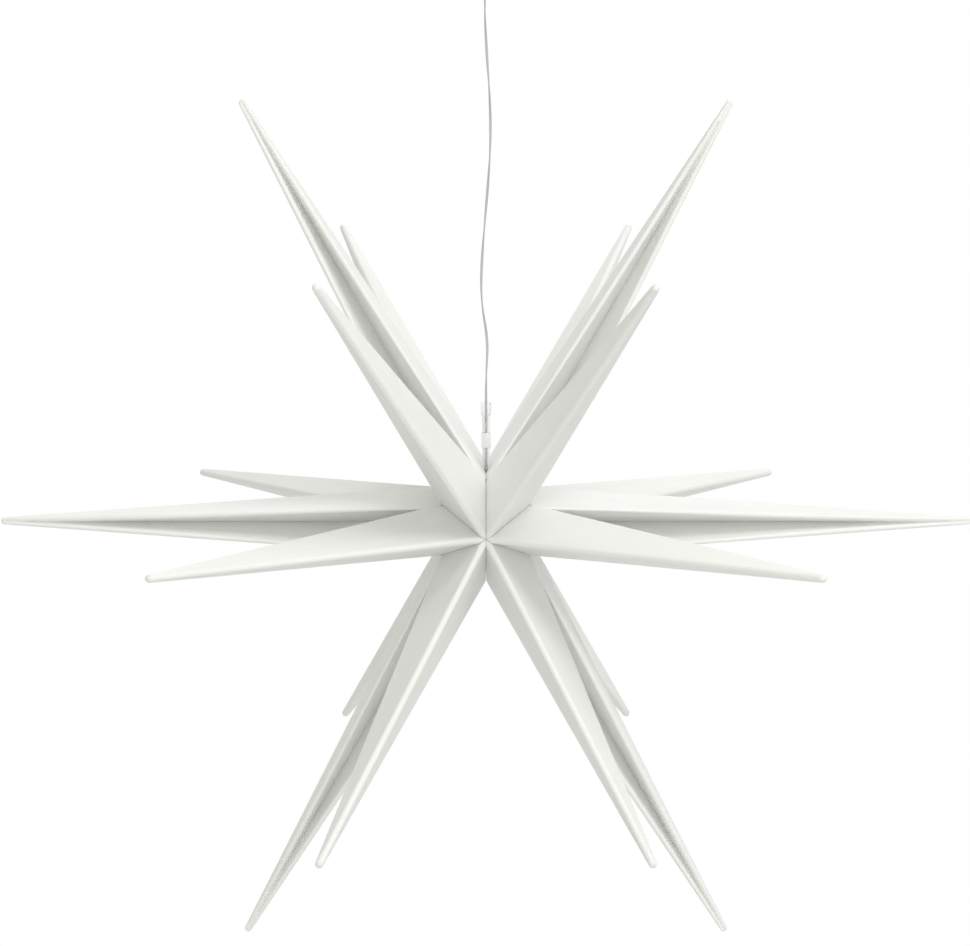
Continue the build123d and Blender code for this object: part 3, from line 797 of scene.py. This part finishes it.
def lean_outline(station, radius):
    """Places of a leaning point's outline at a distance along its axis, in the first arm."""
    vanish = STAR_RADIUS + NOSE

    def at_station(spot, height):
        return height * (vanish - station) / (vanish - spot @ AXIS)

    ridge = at_station(APEX, APEX @ FORWARD - LEAN_EDGE)
    notch = at_station(NOTCH, NOTCH @ FORWARD)
    half = at_station(NOTCH, NOTCH[2] - LEAN_EDGE)
    keel = at_station(GROOVE_END, GROOVE_END @ FORWARD + LEAN_EDGE)
    kite = np.array([(keel, 0), (notch, -half), (ridge, 0), (notch, half)])
    outline = rounded_outline(kite, radius)
    return station * AXIS + outline[:, :1] * FORWARD + outline[:, 1:] * SIDEWAYS


def lean_skin(radius, end, count):
    """Rows of a front point's skin in the first arm, from its trimmed root to an end."""
    root, tip = lean_outline(LEAN_ROOT, radius), lean_outline(end, radius)
    return straight_rows(root, tip, first_kept(root, tip, LEAN_PLANES), count)


def put_point(kind, arm, grid):
    """Puts a point's shell into an arm, in place of the frame's point there."""
    node = f"{kind}_point_{arm + 1}"
    new_piece(f"{kind}_shell_{arm + 1}", on_arm(grid, arm), POINT_PLASTIC, "star",
              node, sharp=RIM_ANGLE)


LEAN_OUTSIDE = lean_skin(LEAN_EDGE, STAR_RADIUS - NOSE, SKIN_ROWS)
LEAN_INSIDE = lean_skin(LEAN_EDGE - WALL, CAVITY_END, INNER_ROWS)
FRONT_SHELL = hollow(LEAN_OUTSIDE, LEAN_INSIDE, AXIS)
REAR_SHELL = FRONT_SHELL * TO_REAR
for arm in range(ARMS):
    put_point("front", arm, FRONT_SHELL)
    put_point("rear", arm, REAR_SHELL)
print("leaning points:", 2 * ARMS, "shells, rows and columns", FRONT_SHELL.shape[:2])

# %% [markdown]
# A middle point is two slim three-sided cells that meet in a waist, so that a V groove runs down
# its front and its back. Its section is an hourglass lying on its side. It could be two shapes
# joined by a boolean, but one outline gives a cleaner skin. The upper half of the outline runs from
# the valley behind, up the groove wall, round the rear edge, over the top, round the front edge and
# down to the front valley. The lower half is the same, turned over.

# %% Hourglass section
MID_EDGE = 1.3
MID_EDGE_SWELL = 1.2
MID_TIP_EDGE = 1.6
MID_TIP_FRONT = 3.5
MID_WAIST = 1.4
SWELL_SCALE = 27 / 4


def hourglass_columns():
    """Four shares for each column of the section.

    They run from rear to front, round the edge's arc and down the groove wall; the last one is the
    sign of the upper or lower half.
    """
    arc, wall = np.linspace(0, 1, EDGE_STEPS), side_shares(FLAT_STEPS)
    roof = np.linspace(-1, 1, FLAT_STEPS + 2)[1:-1]
    side, flat = EDGE_STEPS + FLAT_STEPS, np.zeros(FLAT_STEPS)
    across = np.concatenate([np.full(side + 1, -1.0), roof, np.full(side, 1.0)])
    edge = np.concatenate([np.ones(FLAT_STEPS + 1), arc[::-1], flat, arc, np.ones(FLAT_STEPS)])
    down = np.concatenate([[1.0], wall[::-1], 0 * arc, flat, 0 * arc, wall])
    half = np.repeat([1.0, -1.0], len(across))
    return np.tile(across, 2), np.tile(edge, 2), np.tile(down, 2), half


ACROSS, ROUND_EDGE, DOWN_WALL, HALF = hourglass_columns()


def hourglass(reach, wall=0.0, kept=1.0):
    """Places of the outline at a reach, less a wall, with a share of the groove's depth kept.

    The edge's radius goes evenly from notch to tip, plus a swell that is fullest two thirds of the
    way out. Its arc turns from straight up to the groove wall's normal. The wall runs on from it,
    falling by the slope for each step to the middle, where it meets its mirror image in the valley.
    """
    way = (reach - NOTCH_REACH) / (STAR_RADIUS - NOTCH_REACH)
    swell = MID_EDGE_SWELL * SWELL_SCALE * way**2 * (1 - way)
    edge = MID_EDGE + (MID_TIP_EDGE - MID_EDGE) * way + swell
    front = NOTCH_FRONT + (MID_TIP_FRONT - NOTCH_FRONT) * way - edge
    top = side_at(reach) - edge
    slope = kept * front / (top - edge + MID_WAIST)
    turn = np.pi / 2 - (np.pi / 2 + np.arctan(slope)) * ROUND_EDGE
    height = top + (edge - wall) * np.sin(turn)
    forward = front + (edge - wall) * np.cos(turn) - slope * height * DOWN_WALL
    height = height * (1 - DOWN_WALL) - SINK * 2 * front * (1 - ACROSS**2)
    return np.stack([reach + 0 * forward, HALF * ACROSS * forward, HALF * height], axis=-1)


print("columns of the hourglass:", len(HALF))

# %% [markdown]
# Along a middle point the edges swell and thin out again, and towards the tip the groove gets
# shallower and runs out. So only the reaches run evenly from the trimmed root to the tip, and each
# place takes the outline at its own reach. The clear stem comes out between the two upper middle
# points, so their skins start outside the stem's hole.

# %% Middle points
MID_ROOT = 38.0
RUN_OUT = 330.0
STEM_HOLE = 3.9
STEM_SIDES = [0, 1, -1, 0, 0, 0]
OUT_ALONG = np.array([1.0, 0.0, 0.0])


def groove_kept(reach):
    """Share of the groove's depth: one, less the square of the way from its run-out to the tip."""
    return 1 - np.clip((reach - RUN_OUT) / (STAR_RADIUS - RUN_OUT), 0, 1)**2


def past_stem(root, tip, side):
    """Share of each line where it leaves the stem's hole, a cylinder between two arms."""
    stem = np.array([np.cos(HALF_ARM), 0.0, side * np.sin(HALF_ARM)])
    start = root - np.outer(root @ stem, stem)
    way = (tip - root) - np.outer((tip - root) @ stem, stem)
    square = np.sum(way * way, axis=1)
    half = np.sum(start * way, axis=1)
    inside = half**2 - square * (np.sum(start * start, axis=1) - STEM_HOLE**2)
    return np.where(inside > 0, (np.sqrt(np.maximum(inside, 0)) - half) / square, 0.0)


def middle_reach(stem_side, wall, end, count):
    """Reach of each row and column of a middle point's skin, from its trimmed root to an end.

    The stem is on the upper or the lower side or, for a stem_side of zero, not beside this point.
    """
    root, tip = hourglass(MID_ROOT, wall), hourglass(end, wall)
    share = first_kept(np.abs(root), np.abs(tip), MIDDLE_PLANES)
    if stem_side:
        share = np.maximum(share, past_stem(root, tip, stem_side))
    return straight_rows(root, tip, share, count)[..., 0]


def middle_shell(stem_side):
    """Grid of a middle point, whose groove runs out on the outside and not in the cavity."""
    reach = middle_reach(stem_side, 0.0, STAR_RADIUS - NOSE, SKIN_ROWS)
    outside = hourglass(reach, 0.0, groove_kept(reach))
    inside = hourglass(middle_reach(stem_side, WALL, CAVITY_END, INNER_ROWS), WALL)
    return hollow(outside, inside, OUT_ALONG)


for arm, stem_side in enumerate(STEM_SIDES):
    grid = middle_shell(stem_side)
    put_point("middle", arm, grid)
print("middle points:", ARMS, "shells, rows and columns", grid.shape[:2])

# %% [markdown]
# The gland and the cup are turned pieces: a closed profile of radius and height, carried round the
# vertical axis. A Screw modifier could turn them, but a grid also gets its UV map. Nothing moulded
# has a knife edge, so each corner of a profile is first softened by a short curve between points on
# its two sides.

# %% Turned pieces
TURN_STEPS = 72
SOFT_STEPS = 6
SOFT_SHARE = 0.45
CREASE_ANGLE = 40.0
RING = np.linspace(0, 2 * np.pi, TURN_STEPS, endpoint=False)


def soften(profile, reach):
    """Replaces each corner of a closed profile by a quadratic curve.

    The curve starts and ends a reach away from the corner, or a share of the shorter side beside
    it, if that is less.
    """
    corners = np.array(profile, dtype=float)
    before = np.roll(corners, 1, axis=0) - corners
    after = np.roll(corners, -1, axis=0) - corners
    near = np.linalg.norm(before, axis=1, keepdims=True)
    far = np.linalg.norm(after, axis=1, keepdims=True)
    step = np.minimum(reach, SOFT_SHARE * np.minimum(near, far))
    start, end = corners + before * step / near, corners + after * step / far
    t = np.linspace(0, 1, SOFT_STEPS)[None, :, None]
    curve = (1 - t)**2 * start[:, None] + 2 * t * (1 - t) * corners[:, None] + t**2 * end[:, None]
    return curve.reshape(-1, 2)


def turn_round(radius, height, base):
    """Grid of rings round the vertical through a base: a radius, and a height in each row."""
    places = np.broadcast_arrays(radius * np.cos(RING), radius * np.sin(RING), height)
    return base + MM * np.stack(places, axis=-1)


def turned(profile, base):
    """Grid of a closed profile of radius and height, in millimetres, carried round a base."""
    return turn_round(*np.hsplit(profile, 2), base)


print("turned pieces have", TURN_STEPS, "columns")

# %% [markdown]
# The clear gland holds the lead where it enters the star. From the top: a flared mouth that keeps
# the lead from bending sharply, a narrow sleeve, a cloudy six-sided clamp nut, and a long stem that
# goes down between the two upper arms. All have the lead's bore through them, and softened ends
# where they meet. The nut is turned too, with a radius that follows a hexagon round the ring.

# %% Clear gland
BORE = 1.65
CAP_TOP, CAP_FLARE, CAP_RADIUS, CAP_WALL, CAP_SOFT = 122.5, 112.0, 5.1, 0.9, 1.2
SLEEVE_TOP, SLEEVE_RADIUS = 106.0, 3.8
NUT_TOP, NUT_FLATS, NUT_CORNER, NUT_DRAWN, NUT_SOFT = 91.5, 9.4, 1.1, 0.65, 0.5
STEM_TOP, STEM_FOOT, STEM_RADIUS = 76.0, 28.0, 3.6
TUBE_SOFT = 0.4


def six_sided(angle, flats):
    """Radius of a hexagon at an angle: half its width over the cosine from the nearest flat."""
    from_flat = (angle + np.pi / 6) % (np.pi / 3) - np.pi / 6
    return flats / 2 / np.cos(from_flat)


def nut_grid():
    """The clamp nut: a profile drawn narrow, then widened to a hexagon with its corners turned off.

    Widening also stretches the softened corners, into the nut's slanted shoulders.
    """
    narrow = [(0, STEM_TOP), (NUT_DRAWN, STEM_TOP), (NUT_DRAWN, NUT_TOP), (0, NUT_TOP)]
    width, height = np.hsplit(soften(narrow, NUT_SOFT), 2)
    outer = np.minimum(six_sided(RING, NUT_FLATS), NUT_FLATS / 2 * NUT_CORNER)
    return turn_round(BORE + (outer - BORE) * width / NUT_DRAWN, height, STAR)


def tube_profile(radius, low, high):
    """Closed profile of a plain tube with the lead's bore, softened at its ends."""
    return soften([(BORE, low), (radius, low), (radius, high), (BORE, high)], TUBE_SOFT)


def cap_profile():
    """The flared mouth: out from the sleeve to a wide collar, and back inside at a wall's depth."""
    inner = CAP_RADIUS - CAP_WALL
    flare = [(BORE, SLEEVE_TOP), (SLEEVE_RADIUS, SLEEVE_TOP), (CAP_RADIUS, CAP_FLARE),
             (CAP_RADIUS, CAP_TOP), (inner, CAP_TOP), (inner, CAP_FLARE),
             (BORE, SLEEVE_TOP + CAP_WALL)]
    return soften(flare, CAP_SOFT)


CLEAR_PROFILES = {
    "gland_cap": cap_profile(),
    "gland_sleeve": tube_profile(SLEEVE_RADIUS, NUT_TOP, SLEEVE_TOP),
    "gland_stem": tube_profile(STEM_RADIUS, STEM_FOOT, STEM_TOP),
}
for node, profile in CLEAR_PROFILES.items():
    new_piece(f"clear_{node}", turned(profile, STAR), CLEAR_PLASTIC, "star", node,
              closed=True)
new_piece("cloudy_nut", nut_grid(), CLOUDY_PLASTIC, "star", "gland_nut",
          closed=True, sharp=CREASE_ANGLE)
print("clear gland: a nut and", list(CLEAR_PROFILES))

# %% [markdown]
# At the ceiling the lead ends in a plain round cup with a large rounded corner. A cord grip closes
# the cup's hole: a neck, a flange and a tapered nose with bending ridges, which give way with the
# lead as it swings. Both are turned too, with arcs and ripples worked out along the profile.

# %% Ceiling cup and cord grip
CUP_RADIUS, CUP_HEIGHT, CUP_WALL, CUP_ROUND, CUP_SOFT = 40.0, 40.0, 2.0, 14.0, 0.5
CUP_STEPS = 24
HOLE_PLAY = 0.2
GRIP_NECK, GRIP_NECK_TOP, GRIP_SOFT = 5.0, -30.0, 0.6
GRIP_FLANGE, GRIP_FLANGE_THICK, GRIP_SHOULDER = 9.0, 3.0, 8.2
GRIP_TAPER, GRIP_NOSE = 9.0, 4.0
GRIP_RIDGES, RIDGE_DEPTH, RIDGE_STEPS = 4, 0.45, 60
CEILING = np.zeros(3)


def cup_profile():
    """Rim, wall round a quarter circle to the hole, and back up inside at the wall's thickness."""
    middle = np.array([CUP_RADIUS - CUP_ROUND, CUP_ROUND - CUP_HEIGHT])
    angle = np.linspace(0, -np.pi / 2, CUP_STEPS)
    quarter = np.stack([np.cos(angle), np.sin(angle)], axis=-1)
    outer = middle + CUP_ROUND * quarter
    inner = middle + (CUP_ROUND - CUP_WALL) * quarter[::-1]
    lip = [(CUP_RADIUS - CUP_WALL, -CUP_ROUND), (CUP_RADIUS - CUP_WALL, 0.0), (CUP_RADIUS, 0.0),
           (CUP_RADIUS, -CUP_ROUND)]
    rim = soften(lip, CUP_SOFT)[SOFT_STEPS:-SOFT_STEPS]
    hole = GRIP_NECK + HOLE_PLAY
    bottom = np.array([(hole, -CUP_HEIGHT), (hole, CUP_WALL - CUP_HEIGHT)])
    return np.concatenate([rim, outer, bottom, inner])


def grip_profile():
    """Neck, flange and nose; down the nose the radius narrows evenly, less a ripple per ridge."""
    flange = -CUP_HEIGHT - GRIP_FLANGE_THICK
    way = np.linspace(0, 1, RIDGE_STEPS)
    ripple = RIDGE_DEPTH * (0.5 - 0.5 * np.cos(2 * np.pi * GRIP_RIDGES * way))
    radius = GRIP_SHOULDER + (GRIP_NOSE - GRIP_SHOULDER) * way - ripple
    taper = np.stack([radius, flange - GRIP_TAPER * way], axis=-1)
    collar = [(BORE, GRIP_NECK_TOP), (GRIP_NECK, GRIP_NECK_TOP), (GRIP_NECK, -CUP_HEIGHT),
              (GRIP_FLANGE, -CUP_HEIGHT), (GRIP_FLANGE, flange), (GRIP_SHOULDER, flange)]
    neck = soften(collar, GRIP_SOFT)[SOFT_STEPS // 2:-SOFT_STEPS]
    mouth = np.array([(BORE, taper[-1, 1])])
    return np.concatenate([neck, taper, mouth])


new_piece("cup_skin", turned(cup_profile(), CEILING), CUP_PLASTIC, "ceiling",
          "ceiling_cup", closed=True, sharp=CREASE_ANGLE)
new_piece("grip_skin", turned(grip_profile(), CEILING), CUP_PLASTIC, "ceiling",
          "cord_grip", closed=True, sharp=CREASE_ANGLE)
print("ceiling: cup and cord grip")

# %% [markdown]
# The light is that of a white studio. The world lights everything evenly, but for the camera, for
# mirrors and through clear plastic it is plain white. Three large soft lamps stand around the star.
# The key is high on the right, in front, so faces that look up and to the right are palest and
# faces turned away keep a soft grey. A fill near the camera opens the grooves, and a lamp behind
# lights the upper edges. Between the white walls of a groove light goes to and fro many times, so
# more bounces are let in than usual.

# %% World and lamps
AMBIENT = (0.615, 0.615, 0.565)
BOUNCES = 12
LAMP_SIZE = 3.6
LAMPS = {
    "key": ((3.0, -2.4, 5.1), 163.0),
    "fill": ((0.0, -6.0, 0.9), 70.0),
    "behind": ((0.0, 4.8, 3.6), 46.0),
}


def seen_rays(tree):
    """One for camera, glossy and transmission rays, and zero for all others."""
    path = add(tree, "ShaderNodeLightPath")
    seen = path.outputs["Is Camera Ray"]
    for label in ("Is Glossy Ray", "Is Transmission Ray"):
        seen = calculate(tree, "MAXIMUM", seen, path.outputs[label])
    return seen


def set_world():
    """White for the rays that are seen, and an even ambient light for all others."""
    world = bpy.data.worlds.new("studio")
    bpy.context.scene.world = world
    world.use_nodes = True
    tree = world.node_tree
    tree.nodes.clear()
    color = mix_colors(tree, seen_rays(tree), (*AMBIENT, 1), (1, 1, 1, 1))
    background = add(tree, "ShaderNodeBackground", Strength=1.0)
    feed(tree, color, background.inputs["Color"])
    output = add(tree, "ShaderNodeOutputWorld")
    feed(tree, background.outputs[0], output.inputs["Surface"])


def set_lamp(name, offset, power):
    """A square soft lamp at an offset from the star's centre, turned to the star."""
    data = bpy.data.lights.new(name, "AREA")
    data.shape = "SQUARE"
    data.size = LAMP_SIZE
    data.energy = power
    lamp = bpy.data.objects.new(name, data)
    bpy.context.collection.objects.link(lamp)
    lamp.location = Vector(STAR) + Vector(offset)
    lamp.rotation_euler = (-Vector(offset)).to_track_quat("-Z", "Y").to_euler()


set_world()
bpy.context.scene.cycles.diffuse_bounces = BOUNCES
for name, (offset, power) in LAMPS.items():
    set_lamp(name, offset, power)
print("ambient", AMBIENT, "and", len(LAMPS), "lamps")

# %% [markdown]
# A pale floor lies well below the star. Seen by the camera it is nearly white, and near the star a
# part of its plain matte shading is left in, so that the star's faint soft shadow shows. Further
# away the floor fades to the background's white, so it has no edge.

# %% Floor
FLOOR_DROP = 0.45
FLOOR_HALF = 30.0
FLOOR_WHITE = 0.75
FLOOR_FADE = (0.7, 1.7)


def pale_floor():
    """White light over matte white: a share of it near the middle, and all of it far out."""
    material, tree, shader, _ = moulded(
        "pale_floor", (0.76, 0.76, 0.75), (0.73, 0.73, 0.72), smooth=0.7, dull=0.9, drift=1.5,
        grain=60.0, bump=0.05, height=0.001)
    output = next(node for node in tree.nodes if node.type == "OUTPUT_MATERIAL")
    coordinates = add(tree, "ShaderNodeTexCoord")
    distance = add(tree, "ShaderNodeVectorMath", operation="LENGTH")
    feed(tree, coordinates.outputs["Object"], distance.inputs[0])
    white_share = map_range(tree, distance.outputs["Value"], *FLOOR_FADE, FLOOR_WHITE, 1.0)
    share = calculate(tree, "MULTIPLY", seen_rays(tree), white_share)
    white = add(tree, "ShaderNodeEmission", Color=(1, 1, 1, 1), Strength=1.0)
    mix = add(tree, "ShaderNodeMixShader")
    for source, socket in zip((share, shader.outputs[0], white.outputs[0]), mix.inputs):
        feed(tree, source, socket)
    feed(tree, mix.outputs[0], output.inputs["Surface"])
    return material


def put_floor():
    """A flat square under the star."""
    corners = np.array([(-1, -1), (1, -1), (1, 1), (-1, 1)]) * FLOOR_HALF
    height = np.full((4, 1), CAD_LOW[2] - FLOOR_DROP)
    mesh = bpy.data.meshes.new("floor")
    mesh.from_pydata(np.hstack([corners, height]), [], [(0, 1, 2, 3)])
    mesh.materials.append(pale_floor())
    floor = bpy.data.objects.new("floor", mesh)
    bpy.context.collection.objects.link(floor)


put_floor()
print("floor at", round(CAD_LOW[2] - FLOOR_DROP, 3), "m")
